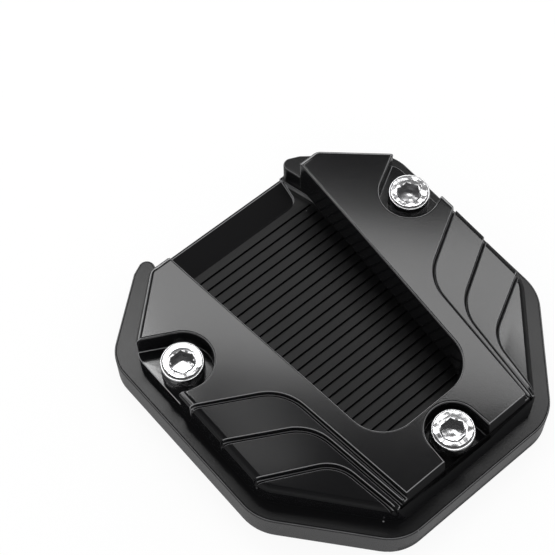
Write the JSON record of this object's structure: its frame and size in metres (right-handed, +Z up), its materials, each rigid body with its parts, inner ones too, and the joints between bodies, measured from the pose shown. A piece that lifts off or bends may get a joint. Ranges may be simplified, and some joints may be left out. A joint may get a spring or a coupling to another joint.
{
  "type": "kickstand foot enlarger",
  "caption": "Octagonal foot plate for a motorbike side stand: a ribbed base with an open recess, and a U-shaped clamp plate with leaf-shaped panels, held by socket screws.",
  "frame": {"origin": "middle of the outline on the ground", "axes": "+Z up, +Y towards the open back where the stand's foot goes in, +X to the right seen from the front"},
  "size_m": [0.088, 0.0936, 0.0192],
  "materials": {
    "base_plate": "satin black anodised",
    "top_plate": "satin black anodised",
    "screws": "polished"
  },
  "bodies": {
    "root": {"base_plate": "base_plate", "top_plate": "top_plate", "rear_left_screw": "screws", "rear_right_screw": "screws", "front_screw": "screws"}
  },
  "joints": []
}
